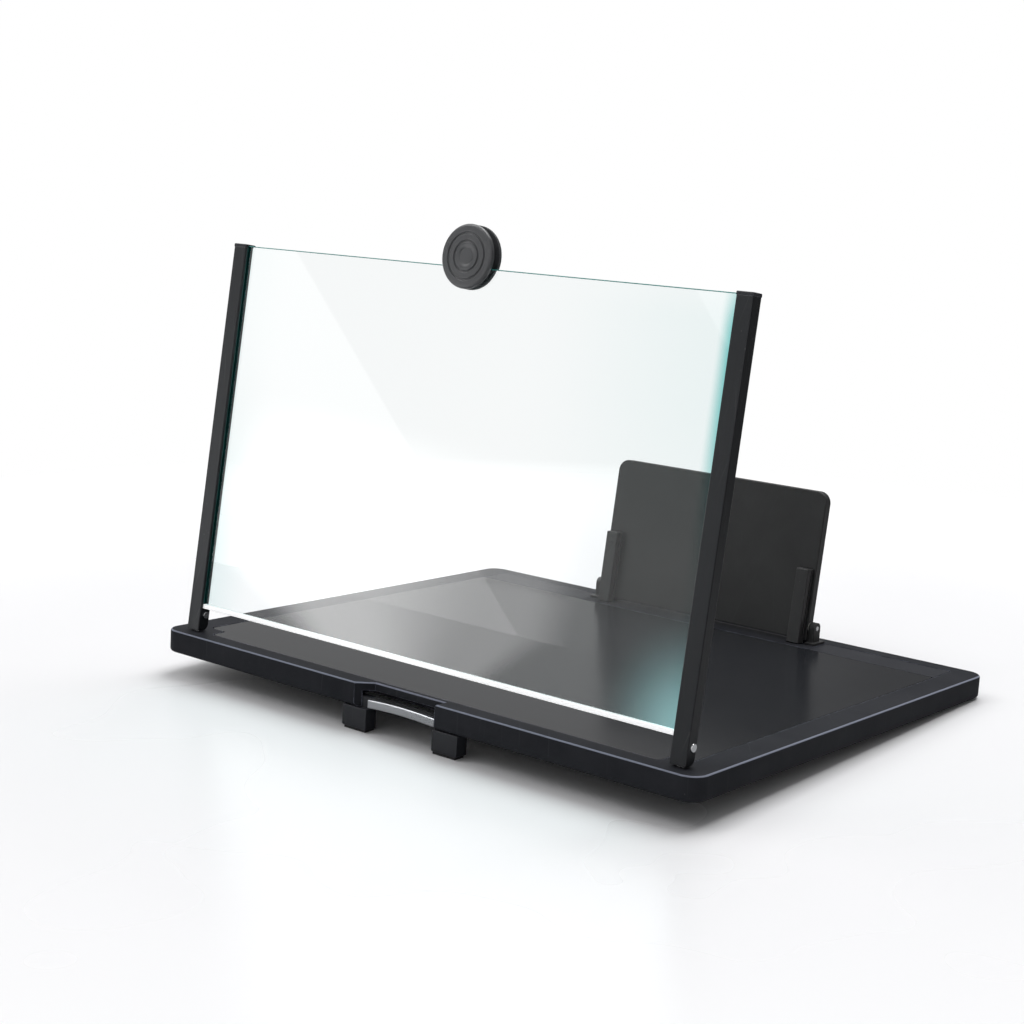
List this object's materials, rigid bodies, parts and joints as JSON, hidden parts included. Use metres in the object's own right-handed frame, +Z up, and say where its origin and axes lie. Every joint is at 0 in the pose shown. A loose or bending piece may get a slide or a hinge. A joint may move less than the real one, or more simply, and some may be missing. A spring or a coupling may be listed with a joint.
{
  "type": "teleprompter",
  "caption": "Tabletop teleprompter: slab base, hinged upright glass pane between two posts with a round clamp on top, folding phone rest behind, fold-out front stand.",
  "frame": {"origin": "centre of the footprint, on the floor the feet and rear pads stand on", "axes": "+X to the right seen from the front, +Y from the front edge to the back, +Z up; the deck slopes down to the back by about 2.4 degrees"},
  "size_m": [0.305, 0.2496, 0.2205],
  "materials": {
    "case_plastic": "fine satin texture, charcoal",
    "panel_gloss": "semi-gloss, near black",
    "strip_plastic": "satin charcoal",
    "screw_steel": "blackened steel",
    "sheet_steel": "zinc-plated sheet",
    "foot_rubber": "matte",
    "rest_plastic": "satin charcoal",
    "pin_steel": "bright steel",
    "washer_nylon": "nylon",
    "post_metal": "dark grey anodised, satin",
    "cap_plastic": "satin charcoal",
    "pane_glass": "clear float glass, teal edge",
    "liner_rubber": "matte",
    "guard_plastic": "clear-white, bright",
    "knob_plastic": "satin black",
    "stand_plastic": "satin charcoal",
    "grip_metal": "satin silver"
  },
  "bodies": {
    "base": {"deck_frame": "case_plastic", "deck_panel": "panel_gloss", "rear_strip_left": "strip_plastic", "rear_strip_right": "strip_plastic", "bottom_cover": "case_plastic", "case_screws": "screw_steel", "stiffener_plate": "sheet_steel", "rear_pads": "foot_rubber", "pane_lug_left": "sheet_steel", "pane_lug_right": "sheet_steel", "pane_lug_screws": "screw_steel", "rest_lug_left": "rest_plastic", "rest_lug_right": "rest_plastic", "rest_lug_screws": "screw_steel", "rest_hinge_pins": "pin_steel", "rest_friction_washers": "washer_nylon", "stand_pins": "pin_steel"},
    "pane": {"post_left": "post_metal", "post_right": "post_metal", "post_cap_left": "cap_plastic", "post_cap_right": "cap_plastic", "glass_pane": "pane_glass", "glazing_strip_left": "liner_rubber", "glazing_strip_right": "liner_rubber", "glass_edge_guard": "guard_plastic", "pane_hinge_pins": "pin_steel", "pane_friction_washers": "washer_nylon", "clamp_rear_disc": "knob_plastic", "clamp_spacer": "knob_plastic", "clamp_pads": "foot_rubber"},
    "clamp_knob": {"clamp_front_disc": "knob_plastic", "clamp_screw": "pin_steel"},
    "phone_rest": {"rest_plate": "rest_plastic", "rest_bar_left": "rest_plastic", "rest_bar_right": "rest_plastic", "rest_bar_screws": "screw_steel"},
    "front_stand": {"stand_frame": "stand_plastic", "stand_bar": "grip_metal", "stand_tips": "foot_rubber"}
  },
  "joints": [
    {"name": "pane_tilt", "type": "hinge", "parent": "base", "child": "pane", "pos_m": [0, -0.11303, 0.02907], "axis": [1, 0, 0], "range_deg": [-79, 0]},
    {"name": "rest_tilt", "type": "hinge", "parent": "base", "child": "phone_rest", "pos_m": [0, 0.11072, 0.01986], "axis": [1, 0, 0], "range_deg": [-12, 97]},
    {"name": "stand_fold", "type": "hinge", "parent": "base", "child": "front_stand", "pos_m": [0, -0.11939, 0.01582], "axis": [1, 0, 0], "range_deg": [0, 90]},
    {"name": "clamp_turn", "type": "hinge", "parent": "pane", "child": "clamp_knob", "pos_m": [0, -0.08729, 0.20685], "axis": [0, -0.9866, 0.1631], "range_deg": [0, 270]}
  ]
}
